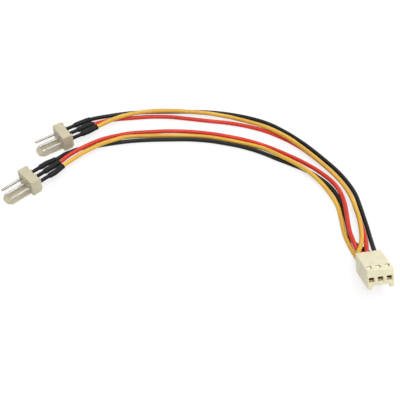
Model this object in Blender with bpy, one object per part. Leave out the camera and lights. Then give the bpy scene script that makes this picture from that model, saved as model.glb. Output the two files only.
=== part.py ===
"""Splitter cable for three-wire cooling fans: one socket housing feeds two pin headers.

Metres, +Z up. The cable lies on a table at Z = 0. The origin is on the table, under the middle of
the box around the connectors and their sleeves. Each connector is modelled in its own frame, with
+X the way it mates, +Y along its row of circuits and +Z up, and an empty puts that frame in place.
"""
import math

import bmesh
import bpy
from mathutils import Euler, Matrix, Vector

MM = 0.001

# How far a cutting shape reaches past the face it cuts
PAST = 1.0 * MM

# Circuits: the colours run from -Y to +Y in each header, and the other way in the housing
PITCH = 2.54 * MM
HEADER_COLOURS = ("black", "red", "yellow")
HOUSING_COLOURS = HEADER_COLOURS[::-1]
CIRCUITS = len(HEADER_COLOURS)
ROW_WIDTH = PITCH * CIRCUITS

# Wire
WIRE_DIAMETER = 1.4 * MM
CONDUCTOR_DIAMETER = 0.56 * MM
WIRE_POINT_SPACING = 2.0 * WIRE_DIAMETER

# Crimp terminal, from its insulation barrel at the rear to its contact box at the front
BARREL_WALL = 0.2 * MM
BARREL_CLEARANCE = 0.05 * MM
STACK_GAP = 0.05 * MM
INSULATION_BARREL = 2.2 * MM
CONDUCTOR_BARREL = 1.6 * MM
STRIPPED_GAP = 1.0 * MM
JACKET_PAST_BARREL = 0.6 * MM
BOX_GAP = 0.4 * MM
CONTACT_LENGTH = 5.4 * MM
CONTACT_HEIGHT = 2.1 * MM
CONTACT_WALL = 0.25 * MM
SPINE_WIDTH = 0.8 * MM
TANG_WIDTH = 0.8 * MM
TANG_THICKNESS = 0.2 * MM
TANG_LENGTH = 1.6 * MM
TANG_SINK = 0.35 * MM

# Socket housing
ROOF = 0.8 * MM
CAVITY_FLOOR = 0.7 * MM
FRONT_WALL = 0.9 * MM
HOUSING_LENGTH = 12.6 * MM
CAVITY_CLEARANCE = 0.06 * MM
TERMINAL_END_GAP = 0.1 * MM
SOCKET_SIZE = 1.45 * MM
SOCKET_MOUTH = 1.75 * MM
SOCKET_LEAD = 0.25 * MM
WINDOW_WIDTH = 1.15 * MM
WINDOW_LENGTH = 2.0 * MM
WINDOW_BEHIND_FRONT = 1.3 * MM
GUIDE_RIB_HEIGHT = 1.0 * MM
HOUSING_EDGE = 0.22 * MM

# Pin header
BASE_DEPTH = 3.2 * MM
BASE_HEIGHT = 5.84 * MM
BASE_EDGE = 0.16 * MM
TAB_WIDTH = 4.8 * MM
TAB_THICKNESS = 0.9 * MM
TAB_RAISE = 0.1 * MM
TAB_REACH = 8.1 * MM
TAB_CHAMFER = 1.2 * MM
TAB_ROOT = 0.8 * MM
TAB_CLEARANCE = 0.2 * MM
TAB_SIDE_CLEARANCE = 0.12 * MM
LATCH_WIDTH = 1.6 * MM
LATCH_LENGTH = 1.4 * MM
LATCH_HEIGHT = 0.4 * MM
LATCH_FROM_TIP = 1.3 * MM
STANDOFF_WIDTH = 0.6 * MM
STANDOFF_DEPTH = 0.5 * MM
STANDOFF_LIFT = 0.6 * MM
STANDOFF_DROP = 0.12 * MM

# Header pin
PIN_SIZE = 0.64 * MM
PIN_REACH = 7.5 * MM
PIN_TAIL = 4.76 * MM
PIN_TIP_LENGTH = 0.5 * MM
PIN_TIP_SIZE = 0.3 * MM
PIN_CLEARANCE = 0.03 * MM

# Soldered joint and heat-shrink sleeve, measured along the wire from the header's back face
SLEEVE_START = 0.35 * MM
SLEEVE_LENGTH = 10.0 * MM
SLEEVE_WALL = 0.14 * MM
SLEEVE_CLEARANCE = 0.06 * MM
SLEEVE_NECK = 3.6 * MM
SLEEVE_FLARE = 1.0 * MM
SLEEVE_SIDES = 14
SOLDER_START = 4.0 * MM
SOLDER_LENGTH = 2.4 * MM
SOLDER_WALL = 0.1 * MM
SOLDER_BULGE = 0.16 * MM
SOLDER_SIDES = 12
JOINT_CLEARANCE = 0.03 * MM
JOINT_WEB = 0.3 * MM
JACKET_GAP = 0.4 * MM

# Where the connectors lie; the layout is drawn from a datum that DATUM puts in the part's frame
DATUM = Vector((4.24, 1.7, 0.0)) * MM
HEADER_PLACES = {
    "a": ((-54.4, 5.6), 223.0),
    "b": ((-46.1, 25.85), 213.8),
}
HOUSING_PLACE = (49.0, -24.8)
HOUSING_TURN = -85.0
HOUSING_NOSE_UP = 29.0
HOUSING_ROLL = 4.5

# Height of a wire's middle on the table
LOW = 0.74

# Straight run of each wire behind the housing
MOUTH_RUN = 1.0 * MM

# Each wire's route between its header and the housing: x, y and height in millimetres
ROUTES = {
    "a_black": [
        (-46.7, 16.5, 2.00), (-44.9, 19.3, 1.15), (-42.9, 20.9, 0.80), (-40.5, 22.2, LOW),
        (-33.7, 23.9, LOW), (-28.7, 25.0, LOW), (-23.7, 25.9, LOW), (-16.9, 26.5, LOW),
        (-10.2, 26.7, LOW), (-3.4, 26.7, LOW), (3.4, 26.0, LOW), (8.7, 24.8, LOW),
        (14.3, 23.2, LOW), (20.3, 20.6, LOW), (25.8, 17.4, LOW), (28.4, 16.0, LOW),
        (31.0, 14.5, LOW), (33.9, 12.8, LOW), (36.6, 10.7, LOW), (40.7, 6.5, LOW),
        (43.0, 2.6, LOW), (44.4, -1.8, LOW), (45.0, -6.0, LOW), (45.3, -9.7, LOW),
        (45.5, -13.6, LOW), (45.8, -16.2, LOW), (46.5, -18.0, LOW), (47.7, -19.4, LOW),
        (49.2, -20.6, LOW), (50.5, -21.8, 0.82),
    ],
    "a_red": [
        (-45.7, 14.3, 2.65), (-42.8, 17.7, 2.60), (-38.9, 21.3, 2.40), (-33.6, 24.9, 2.25),
        (-28.8, 27.7, 1.40), (-23.9, 29.6, 0.86), (-17.1, 30.4, LOW), (-10.3, 30.8, LOW),
        (-3.4, 30.5, LOW), (3.4, 29.6, LOW), (9.0, 28.3, LOW), (14.9, 26.6, LOW),
        (21.1, 24.0, LOW), (27.0, 20.7, LOW), (29.6, 19.0, LOW), (32.2, 17.3, LOW),
        (35.1, 15.1, LOW), (37.8, 12.8, LOW), (41.9, 8.1, 0.90), (44.1, 3.3, 1.55),
        (45.1, -2.3, 2.20), (45.3, -7.1, 2.28), (45.3, -10.8, 2.25), (45.4, -14.8, 2.25),
        (45.8, -17.4, 2.30), (46.2, -19.4, 2.20), (47.1, -21.1, 1.36), (48.3, -22.9, 1.24),
    ],
    "a_yellow": [
        (-44.5, 12.6, 2.65), (-41.9, 15.5, 2.50), (-38.6, 18.8, 2.40), (-33.4, 22.7, 2.35),
        (-31.3, 23.9, 2.30), (-27.9, 25.5, 2.18), (-26.0, 26.7, 1.76), (-23.8, 27.7, 1.15),
        (-17.0, 28.5, LOW), (-10.2, 28.6, LOW), (-3.4, 28.5, LOW), (3.4, 27.8, LOW),
        (8.9, 26.5, LOW), (14.6, 24.8, 0.80), (20.7, 22.1, 1.32), (23.5, 20.0, 1.82),
        (26.2, 17.8, 2.16), (28.7, 16.0, 2.20), (31.2, 14.1, 2.20), (33.8, 11.8, 2.15),
        (36.3, 9.3, 1.95), (39.8, 4.8, 1.25), (41.7, 1.1, 0.95), (43.1, -2.8, 0.84),
        (43.6, -6.7, 0.78), (43.8, -10.1, LOW), (44.0, -14.0, LOW), (44.4, -16.5, LOW),
        (44.9, -18.5, LOW), (45.7, -21.2, 0.80),
    ],
    "b_black": [
        (-37.6, 35.1, 2.20), (-34.7, 37.2, 1.20), (-31.5, 38.4, 0.80), (-29.7, 38.9, 0.76),
        (-24.5, 39.9, LOW), (-17.5, 40.5, LOW), (-10.5, 40.6, LOW), (-3.5, 40.6, LOW),
        (3.5, 40.3, LOW), (10.0, 39.3, LOW), (16.7, 37.5, LOW), (23.7, 34.4, LOW),
        (30.1, 29.5, LOW), (32.7, 27.0, LOW), (35.3, 24.3, LOW), (38.0, 21.1, LOW),
        (40.6, 17.8, LOW), (44.7, 12.1, LOW), (47.3, 7.4, LOW), (49.4, 1.9, LOW),
        (50.3, -3.7, LOW), (50.8, -7.9, LOW), (51.3, -12.2, LOW), (51.5, -15.2, 0.90),
        (51.6, -18.1, 1.50), (51.6, -20.9, 2.30),
    ],
    "b_red": [
        (-36.2, 33.2, 1.90), (-34.1, 34.8, 1.20), (-31.9, 36.0, 0.85), (-29.5, 36.7, LOW),
        (-24.3, 37.3, LOW), (-17.4, 38.0, LOW), (-10.4, 37.9, LOW), (-3.5, 36.9, LOW),
        (3.5, 35.8, LOW), (9.6, 34.9, LOW), (16.0, 33.3, LOW), (22.8, 30.6, LOW),
        (29.1, 26.7, LOW), (31.8, 24.6, LOW), (34.4, 22.2, LOW), (37.1, 19.2, LOW),
        (39.7, 16.0, LOW), (43.6, 10.6, LOW), (46.1, 6.1, LOW), (48.0, 0.8, LOW),
        (48.8, -4.4, LOW), (49.3, -8.4, LOW), (49.8, -12.5, LOW), (50.0, -15.6, 0.95),
        (49.9, -18.2, 1.70), (49.6, -20.4, 2.40),
    ],
    "b_yellow": [
        (-34.7, 31.2, 2.70), (-32.7, 32.8, 2.60), (-29.3, 35.3, 2.45), (-24.3, 37.6, 2.35),
        (-17.4, 39.2, 2.30), (-10.4, 39.5, 2.25), (-3.5, 39.2, 2.05), (3.5, 38.7, 1.62),
        (7.3, 38.1, 1.30), (9.9, 37.5, 1.22), (12.7, 36.5, 1.22), (16.3, 34.8, 1.55),
        (23.1, 31.1, 2.10), (29.3, 26.4, 2.22), (31.9, 23.9, 2.15), (34.3, 21.2, 2.10),
        (36.9, 18.1, 2.10), (39.4, 14.9, 2.05), (43.3, 9.4, 2.00), (45.8, 4.9, 2.00),
        (47.6, -0.4, 2.10), (48.5, -5.6, 2.22), (48.9, -9.7, 2.26), (48.9, -14.0, 2.30),
        (48.7, -16.9, 2.40), (48.1, -19.6, 2.75), (47.4, -21.8, 2.93), (46.9, -22.8, 2.92),
    ],
}

# Sizes that follow from the ones above
BARREL_WIDTH = WIRE_DIAMETER + 2 * (BARREL_CLEARANCE + BARREL_WALL)
WIRE_STACK = 2 * WIRE_DIAMETER + STACK_GAP
BARREL_HEIGHT = WIRE_STACK + 2 * (BARREL_CLEARANCE + BARREL_WALL)
CAVITY_WIDTH = BARREL_WIDTH + 2 * CAVITY_CLEARANCE
CAVITY_HEIGHT = BARREL_HEIGHT + 2 * CAVITY_CLEARANCE
HOUSING_THICKNESS = ROOF + CAVITY_HEIGHT + CAVITY_FLOOR
CAVITY_MIDDLE = -ROOF - CAVITY_HEIGHT / 2
WIRE_RISE = (WIRE_DIAMETER + STACK_GAP) / 2
CONTACT_BOTTOM = CAVITY_MIDDLE - BARREL_HEIGHT / 2
CONTACT_TOP = CONTACT_BOTTOM + CONTACT_HEIGHT
SOCKET_MIDDLE = CONTACT_BOTTOM + CONTACT_HEIGHT / 2
CONTACT_FRONT = HOUSING_LENGTH - FRONT_WALL - TERMINAL_END_GAP
CONTACT_REAR = CONTACT_FRONT - CONTACT_LENGTH
CONDUCTOR_BARREL_FRONT = CONTACT_REAR - BOX_GAP
CONDUCTOR_BARREL_REAR = CONDUCTOR_BARREL_FRONT - CONDUCTOR_BARREL
INSULATION_BARREL_FRONT = CONDUCTOR_BARREL_REAR - STRIPPED_GAP
INSULATION_BARREL_REAR = INSULATION_BARREL_FRONT - INSULATION_BARREL
JACKET_END = INSULATION_BARREL_FRONT + JACKET_PAST_BARREL
GUIDE_RIB_WIDTH = (ROW_WIDTH - TAB_WIDTH) / 2 - TAB_SIDE_CLEARANCE
TAB_TOP = TAB_RAISE + TAB_THICKNESS
PIN_HEIGHT = TAB_TOP + TAB_CLEARANCE + HOUSING_THICKNESS + SOCKET_MIDDLE
TAIL_BORE = PIN_SIZE / math.sqrt(2) + JOINT_CLEARANCE
SOLDER_END = SOLDER_START + SOLDER_LENGTH
JACKET_START = SOLDER_END + JACKET_GAP
CONDUCTOR_START = PIN_TAIL + JOINT_CLEARANCE + JOINT_WEB + JOINT_CLEARANCE


def clear_scene():
    for item in list(bpy.data.objects):
        bpy.data.objects.remove(item, do_unlink=True)


def make_material(name, colour, roughness, metallic=0.0):
    material = bpy.data.materials.new(name)
    material.use_nodes = True
    shader = material.node_tree.nodes["Principled BSDF"]
    shader.inputs["Base Color"].default_value = (*colour, 1.0)
    shader.inputs["Roughness"].default_value = roughness
    shader.inputs["Metallic"].default_value = metallic
    return material


def make_materials():
    return {
        "housing": make_material("ivory_nylon", (0.84, 0.78, 0.60), 0.45),
        "header": make_material("cream_nylon", (0.68, 0.60, 0.42), 0.45),
        "pin": make_material("tinned_pin", (0.62, 0.62, 0.60), 0.3, 1.0),
        "terminal": make_material("plated_terminal", (0.60, 0.46, 0.22), 0.35, 1.0),
        "copper": make_material("bare_copper", (0.72, 0.40, 0.26), 0.35, 1.0),
        "solder": make_material("solder", (0.66, 0.67, 0.68), 0.3, 1.0),
        "sleeve": make_material("shrink_sleeve", (0.02, 0.02, 0.02), 0.5),
        "yellow": make_material("yellow_jacket", (0.85, 0.50, 0.05), 0.35),
        "red": make_material("red_jacket", (0.72, 0.03, 0.02), 0.35),
        "black": make_material("black_jacket", (0.02, 0.02, 0.022), 0.35),
    }


def place_matrix(location, rotation):
    return Matrix.Translation(location) @ Euler(rotation, "XYZ").to_matrix().to_4x4()


def header_matrix(branch):
    (x, y), turn = HEADER_PLACES[branch]
    return place_matrix(Vector((x * MM, y * MM, 0.0)) + DATUM, (0.0, 0.0, math.radians(turn)))


def housing_matrix():
    """The origin is at the middle of the rear face's top edge; the lowest corner is on the table."""
    rotation = [math.radians(a) for a in (HOUSING_ROLL, -HOUSING_NOSE_UP, HOUSING_TURN)]
    turned = place_matrix((0.0, 0.0, 0.0), rotation)
    bottom = -HOUSING_THICKNESS - GUIDE_RIB_HEIGHT
    corners = [Vector((0.0, side * ROW_WIDTH / 2, bottom)) for side in (-1, 1)]
    height = -min((turned @ corner).z for corner in corners)
    x, y = HOUSING_PLACE
    return place_matrix(Vector((x * MM, y * MM, height)) + DATUM, rotation)


def make_frame(name, matrix):
    empty = bpy.data.objects.new(name, None)
    bpy.context.scene.collection.objects.link(empty)
    empty.matrix_world = matrix
    return empty


def circuit_offset(index):
    return (index - (CIRCUITS - 1) / 2) * PITCH


def add_object(name, mesh, material=None, frame=None, offset=0.0, smooth=False):
    item = bpy.data.objects.new(name, mesh)
    bpy.context.scene.collection.objects.link(item)
    if material and not mesh.materials:
        mesh.materials.append(material)
    if frame:
        item.parent = frame
    item.location = (0.0, offset, 0.0)
    if smooth:
        mesh.shade_smooth()
        mesh.set_sharp_from_angle(angle=math.radians(40))
    return item


def finish_mesh(name, bm):
    bmesh.ops.recalc_face_normals(bm, faces=bm.faces[:])
    mesh = bpy.data.meshes.new(name)
    bm.to_mesh(mesh)
    bm.free()
    return mesh


def add_box(bm, low, high):
    size = [b - a for a, b in zip(low, high)]
    middle = [(a + b) / 2 for a, b in zip(low, high)]
    matrix = Matrix.Translation(middle) @ Matrix.Diagonal((*size, 1.0))
    return bmesh.ops.create_cube(bm, size=1.0, matrix=matrix)["verts"]


def add_extrusion(bm, outline, along):
    """Extrude a flat outline by the vector along."""
    face = bm.faces.new([bm.verts.new(point) for point in outline])
    moved = bmesh.ops.extrude_face_region(bm, geom=[face])
    verts = [part for part in moved["geom"] if isinstance(part, bmesh.types.BMVert)]
    bmesh.ops.translate(bm, verts=verts, vec=along)


def bevel_all(bm, width, segments=2):
    bmesh.ops.recalc_face_normals(bm, faces=bm.faces[:])
    bmesh.ops.bevel(bm, geom=bm.edges[:], offset=width, segments=segments, profile=0.5,
                    affect="EDGES", clamp_overlap=True)


def combine(name, base, steps):
    """Unite base with, or cut it by, each helper mesh in turn, and return the finished mesh."""
    target = add_object(name + "_work", base)
    helpers = []
    for number, (operation, helper_mesh) in enumerate(steps):
        helper = add_object("%s_helper_%d" % (name, number), helper_mesh)
        helper.hide_render = True
        helper.display_type = "WIRE"
        helpers.append(helper)
        modifier = target.modifiers.new("step_%d" % number, "BOOLEAN")
        modifier.operation = operation
        modifier.solver = "EXACT"
        modifier.object = helper
    depsgraph = bpy.context.evaluated_depsgraph_get()
    mesh = bpy.data.meshes.new_from_object(target.evaluated_get(depsgraph))
    mesh.name = name
    for item in [target, *helpers]:
        bpy.data.objects.remove(item, do_unlink=True)
    return mesh


def housing_outline():
    half = ROW_WIDTH / 2
    inner = half - GUIDE_RIB_WIDTH
    floor = -HOUSING_THICKNESS
    foot = floor - GUIDE_RIB_HEIGHT
    right = [(half, 0.0), (half, foot), (inner, foot), (inner, floor)]
    left = [(-y, z) for y, z in reversed(right)]
    return [(0.0, y, z) for y, z in right + left]


def housing_mesh():
    """A block with a lengthwise rib under each end, cut by one stepped cavity for each circuit."""
    bm = bmesh.new()
    add_extrusion(bm, housing_outline(), (HOUSING_LENGTH, 0.0, 0.0))
    bevel_all(bm, HOUSING_EDGE)
    cavities, sockets, windows = bmesh.new(), bmesh.new(), bmesh.new()
    cavity_front = HOUSING_LENGTH - FRONT_WALL
    window_front = HOUSING_LENGTH - WINDOW_BEHIND_FRONT
    for index in range(CIRCUITS):
        y = circuit_offset(index)
        half = CAVITY_WIDTH / 2
        add_box(cavities, (-PAST, y - half, -ROOF - CAVITY_HEIGHT), (cavity_front, y + half, -ROOF))
        add_socket_cutter(sockets, y, cavity_front - PAST, HOUSING_LENGTH + PAST)
        half = WINDOW_WIDTH / 2
        add_box(windows, (window_front - WINDOW_LENGTH, y - half, -ROOF - PAST),
                (window_front, y + half, PAST))
    steps = [("DIFFERENCE", finish_mesh("cavities", cavities)),
             ("DIFFERENCE", finish_mesh("sockets", sockets)),
             ("DIFFERENCE", finish_mesh("windows", windows))]
    return combine("female_housing", finish_mesh("housing_block", bm), steps)


def add_socket_cutter(bm, y, rear, front):
    """A square hole that opens out towards the housing's front face."""
    stations = [(rear, SOCKET_SIZE), (HOUSING_LENGTH - SOCKET_LEAD, SOCKET_SIZE),
                (HOUSING_LENGTH, SOCKET_MOUTH), (front, SOCKET_MOUTH)]
    add_square_loft(bm, [(x, size, size) for x, size in stations], y, SOCKET_MIDDLE)


def add_square_loft(bm, stations, y=0.0, z=0.0):
    """Closed solid through rectangles (x, width, height) centred on (y, z)."""
    signs = ((-1, -1), (1, -1), (1, 1), (-1, 1))
    rings = [[bm.verts.new((x, y + a * width / 2, z + b * height / 2)) for a, b in signs]
             for x, width, height in stations]
    for ring, following in zip(rings, rings[1:]):
        for k in range(4):
            m = (k + 1) % 4
            bm.faces.new((ring[k], ring[m], following[m], following[k]))
    bm.faces.new(rings[0])
    bm.faces.new(rings[-1])


def stadium(x, width, height, arc_steps=6):
    """Upright outline with round ends, centred on the cavity's middle."""
    radius = width / 2
    straight = height / 2 - radius
    points = []
    for end in (1, -1):
        for k in range(arc_steps + 1):
            angle = math.pi * k / arc_steps
            y = end * radius * math.cos(angle)
            z = CAVITY_MIDDLE + end * (straight + radius * math.sin(angle))
            points.append((x, y, z))
    return points


def barrel_mesh(name, rear, front, width, height):
    bm = bmesh.new()
    add_extrusion(bm, stadium(rear, width, height), (front - rear, 0.0, 0.0))
    return finish_mesh(name, bm)


def conductor_hole():
    width = CONDUCTOR_DIAMETER + 2 * BARREL_CLEARANCE
    return width, width + 2 * WIRE_RISE


def tang_mesh():
    """Locking tang, raised from the roof of the contact box towards the rear."""
    root = HOUSING_LENGTH - WINDOW_BEHIND_FRONT - TERMINAL_END_GAP
    tip = root - TANG_LENGTH
    half = TANG_WIDTH / 2
    outline = [(root, -half, CONTACT_TOP - CONTACT_WALL / 2),
               (root, -half, CONTACT_TOP + TANG_THICKNESS / 2),
               (tip + TANG_THICKNESS, -half, -TANG_SINK),
               (tip, -half, -TANG_SINK),
               (root - 2 * TANG_THICKNESS, -half, CONTACT_TOP - CONTACT_WALL / 2)]
    bm = bmesh.new()
    add_extrusion(bm, outline, (0.0, TANG_WIDTH, 0.0))
    return finish_mesh("tang", bm)


def terminal_mesh():
    """Contact box, conductor barrel and insulation barrel on one spine."""
    box = bmesh.new()
    half = BARREL_WIDTH / 2
    add_box(box, (CONTACT_REAR, -half, CONTACT_BOTTOM), (CONTACT_FRONT, half, CONTACT_TOP))
    spine = bmesh.new()
    half = SPINE_WIDTH / 2
    join = BARREL_WALL / 2
    add_box(spine, (INSULATION_BARREL_FRONT - join, -half, CONTACT_BOTTOM + BARREL_CLEARANCE / 2),
            (CONTACT_REAR + join, half, CONTACT_BOTTOM + BARREL_WALL))
    hole_width, hole_height = conductor_hole()
    outer_width = hole_width + 2 * BARREL_WALL
    outer_height = hole_height + 2 * BARREL_WALL
    pad = bmesh.new()
    add_box(pad, (CONDUCTOR_BARREL_REAR + join, -half / 2, CONTACT_BOTTOM + BARREL_WALL / 2),
            (CONDUCTOR_BARREL_FRONT - join, half / 2, CAVITY_MIDDLE - hole_height / 2 - join))
    bore = bmesh.new()
    bore_half = BARREL_WIDTH / 2 - CONTACT_WALL
    add_box(bore, (CONTACT_REAR + CONTACT_WALL, -bore_half, CONTACT_BOTTOM + CONTACT_WALL),
            (CONTACT_FRONT + PAST, bore_half, CONTACT_TOP - CONTACT_WALL))
    jacket_hole = (WIRE_DIAMETER + 2 * BARREL_CLEARANCE, WIRE_STACK + 2 * BARREL_CLEARANCE)
    steps = [
        ("UNION", tang_mesh()),
        ("UNION", finish_mesh("spine", spine)),
        ("UNION", finish_mesh("pad", pad)),
        ("UNION", barrel_mesh("conductor_barrel", CONDUCTOR_BARREL_REAR, CONDUCTOR_BARREL_FRONT,
                              outer_width, outer_height)),
        ("UNION", barrel_mesh("insulation_barrel", INSULATION_BARREL_REAR, INSULATION_BARREL_FRONT,
                              BARREL_WIDTH, BARREL_HEIGHT)),
        ("DIFFERENCE", finish_mesh("bore", bore)),
        ("DIFFERENCE", barrel_mesh("conductor_hole", CONDUCTOR_BARREL_REAR - join,
                                   CONDUCTOR_BARREL_FRONT + join, hole_width, hole_height)),
        ("DIFFERENCE", barrel_mesh("jacket_hole", INSULATION_BARREL_REAR - PAST,
                                   INSULATION_BARREL_FRONT + PAST / 2, *jacket_hole)),
    ]
    return combine("crimp_terminal", finish_mesh("contact_box", box), steps)


def tab_mesh():
    """Polarising tab: a flat tongue with cut corners, embedded in the base by TAB_ROOT."""
    front = BASE_DEPTH / 2
    tip = front + TAB_REACH
    half = TAB_WIDTH / 2
    outline = [(front - TAB_ROOT, half), (tip - TAB_CHAMFER, half), (tip, half - TAB_CHAMFER)]
    outline += [(x, -y) for x, y in reversed(outline)]
    bm = bmesh.new()
    add_extrusion(bm, [(x, y, TAB_RAISE) for x, y in outline], (0.0, 0.0, TAB_THICKNESS))
    return finish_mesh("tab", bm)


def latch_mesh():
    """Low wedge across the tab's inner face, which grips the mating housing."""
    tip = BASE_DEPTH / 2 + TAB_REACH - LATCH_FROM_TIP
    half = LATCH_WIDTH / 2
    sunk = TAB_TOP - TAB_THICKNESS / 2
    rear = tip - LATCH_LENGTH
    outline = [(tip, -half, sunk), (tip, -half, TAB_TOP),
               (rear, -half, TAB_TOP + LATCH_HEIGHT), (rear, -half, sunk)]
    bm = bmesh.new()
    add_extrusion(bm, outline, (0.0, LATCH_WIDTH, 0.0))
    return finish_mesh("latch", bm)


def standoff_mesh():
    """Upright ribs on the back face, between the circuits and at both ends of the row."""
    bm = bmesh.new()
    back = -BASE_DEPTH / 2
    limit = ROW_WIDTH / 2 - STANDOFF_WIDTH / 2 - BASE_EDGE
    for index in range(CIRCUITS + 1):
        y = max(-limit, min(limit, (index - CIRCUITS / 2) * PITCH))
        add_box(bm, (back - STANDOFF_DEPTH, y - STANDOFF_WIDTH / 2, STANDOFF_LIFT),
                (back + STANDOFF_DEPTH, y + STANDOFF_WIDTH / 2, BASE_HEIGHT - STANDOFF_DROP))
    return finish_mesh("standoffs", bm)


def header_base_mesh():
    """Base block with its tab, latch and stand-offs, and a square hole for each pin."""
    block = bmesh.new()
    depth, width = BASE_DEPTH / 2, ROW_WIDTH / 2
    add_box(block, (-depth, -width, 0.0), (depth, width, BASE_HEIGHT))
    bevel_all(block, BASE_EDGE)
    holes = bmesh.new()
    half = PIN_SIZE / 2 + PIN_CLEARANCE
    for index in range(CIRCUITS):
        y = circuit_offset(index)
        add_box(holes, (-depth - PAST, y - half, PIN_HEIGHT - half),
                (depth + PAST, y + half, PIN_HEIGHT + half))
    steps = [("UNION", tab_mesh()), ("UNION", latch_mesh()), ("UNION", standoff_mesh()),
             ("DIFFERENCE", finish_mesh("holes", holes))]
    return combine("header_base", finish_mesh("header_block", block), steps)


def pin_mesh():
    """Square pin, tapered at both ends."""
    rear = -BASE_DEPTH / 2 - PIN_TAIL
    front = BASE_DEPTH / 2 + PIN_REACH
    stations = [(rear, PIN_TIP_SIZE), (rear + PIN_TIP_LENGTH, PIN_SIZE),
                (front - PIN_TIP_LENGTH, PIN_SIZE), (front, PIN_TIP_SIZE)]
    bm = bmesh.new()
    add_square_loft(bm, [(x, size, size) for x, size in stations], 0.0, PIN_HEIGHT)
    return finish_mesh("header_pin", bm)


class Path:
    """A smooth curve through given points, read by the distance along it."""

    SAMPLES = 14

    def __init__(self, points):
        first = points[0] * 2 - points[1]
        last = points[-1] * 2 - points[-2]
        chain = [first, *points, last]
        self.points = [points[0]]
        for k in range(len(points) - 1):
            self.points += self.span(chain[k:k + 4])
        self.lengths = [0.0]
        for a, b in zip(self.points, self.points[1:]):
            self.lengths.append(self.lengths[-1] + (b - a).length)
        self.length = self.lengths[-1]

    def span(self, corners):
        """Centripetal spline between the middle two of four points."""
        knots = [0.0]
        for a, b in zip(corners, corners[1:]):
            knots.append(knots[-1] + math.sqrt((b - a).length))
        found = []
        for k in range(1, self.SAMPLES + 1):
            t = knots[1] + (knots[2] - knots[1]) * k / self.SAMPLES
            level = list(corners)
            for depth in (1, 2, 3):
                level = [self.mix(level, knots, j, depth, t) for j in range(4 - depth)]
            found.append(level[0])
        return found

    @staticmethod
    def mix(level, knots, j, depth, t):
        low, high = (j, j + depth) if depth < 3 else (1, 2)
        if depth == 2:
            low, high = j, j + 2
        share = (t - knots[low]) / (knots[high] - knots[low])
        return level[j].lerp(level[j + 1], share)

    def at(self, distance):
        distance = min(max(distance, 0.0), self.length)
        k = 1
        while k < len(self.lengths) - 1 and self.lengths[k] < distance:
            k += 1
        share = (distance - self.lengths[k - 1]) / (self.lengths[k] - self.lengths[k - 1])
        return self.points[k - 1].lerp(self.points[k], share)

    def direction(self, distance, reach=0.1 * MM):
        return (self.at(distance + reach) - self.at(distance - reach)).normalized()


def wire_path(branch, colour):
    """Straight off the header's pin, along the route, and straight into the terminal."""
    header = header_matrix(branch)
    y = circuit_offset(HEADER_COLOURS.index(colour))
    back = -BASE_DEPTH / 2
    leave = [header @ Vector((back - away, y, PIN_HEIGHT))
             for away in (0.0, CONDUCTOR_START, JACKET_START)]
    housing = housing_matrix()
    y = circuit_offset(HOUSING_COLOURS.index(colour))
    rise = WIRE_RISE if branch == "b" else -WIRE_RISE
    enter = [housing @ Vector((x, y, CAVITY_MIDDLE + rise))
             for x in (-MOUTH_RUN, 0.0, CONDUCTOR_BARREL_FRONT)]
    route = [Vector(point) * MM + DATUM for point in ROUTES[branch + "_" + colour]]
    return Path(leave + route + enter)


def turned_mesh(name, path, profile, sides):
    """Turn a profile of (distance, radius) pairs about the path.

    A profile that starts and ends at radius 0 gives a plain solid; any other is a closed loop.
    """
    bm = bmesh.new()
    poles = profile[0][1] == 0.0
    rings = []
    for distance, radius in profile:
        centre = path.at(distance)
        forward = path.direction(distance)
        side = forward.cross(Vector((0.0, 0.0, 1.0))).normalized()
        up = side.cross(forward)
        if radius == 0.0:
            rings.append([bm.verts.new(centre)])
            continue
        angles = [2 * math.pi * k / sides for k in range(sides)]
        rings.append([bm.verts.new(centre + (side * math.cos(a) + up * math.sin(a)) * radius)
                      for a in angles])
    pairs = list(zip(rings, rings[1:]))
    if not poles:
        pairs.append((rings[-1], rings[0]))
    for ring, following in pairs:
        for k in range(sides):
            m = (k + 1) % sides
            corners = [ring[k % len(ring)], ring[m % len(ring)],
                       following[m % len(following)], following[k % len(following)]]
            bm.faces.new(list(dict.fromkeys(corners)))
    return finish_mesh(name, bm)


def sleeve_profile():
    """Tight round the pin's tail, then flared over the wire."""
    wire_bore = WIRE_DIAMETER / 2 + SLEEVE_CLEARANCE
    end = SLEEVE_START + SLEEVE_LENGTH
    flare_end = SLEEVE_NECK + SLEEVE_FLARE
    stations = [(SLEEVE_START, TAIL_BORE), (SLEEVE_NECK, TAIL_BORE)]
    steps = 4
    for k in range(1, steps + 1):
        ease = (1 - math.cos(math.pi * k / steps)) / 2
        stations.append((SLEEVE_NECK + SLEEVE_FLARE * k / steps,
                         TAIL_BORE + (wire_bore - TAIL_BORE) * ease))
    stations += [(flare_end + (end - flare_end) * k / steps, wire_bore) for k in range(1, steps + 1)]
    outer = [(x, r + SLEEVE_WALL) for x, r in stations]
    return outer + list(reversed(stations))


def solder_profile():
    """A bead with a bore at each end: one for the pin's tail and one for the conductor."""
    wire_bore = CONDUCTOR_DIAMETER / 2 + JOINT_CLEARANCE
    tail_end = PIN_TAIL + JOINT_CLEARANCE
    wire_end = tail_end + JOINT_WEB
    outer = [(SOLDER_START, TAIL_BORE + SOLDER_WALL / 2),
             (wire_end, TAIL_BORE + SOLDER_BULGE),
             (SOLDER_END, wire_bore + SOLDER_WALL)]
    return ([(tail_end, 0.0), (tail_end, TAIL_BORE), (SOLDER_START, TAIL_BORE)] + outer
            + [(SOLDER_END, wire_bore), (wire_end, wire_bore), (wire_end, 0.0)])


def rod_profile(start, end, radius):
    middle = (start + end) / 2
    return [(start, 0.0), (start, radius), (middle, radius), (end, radius), (end, 0.0)]


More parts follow.
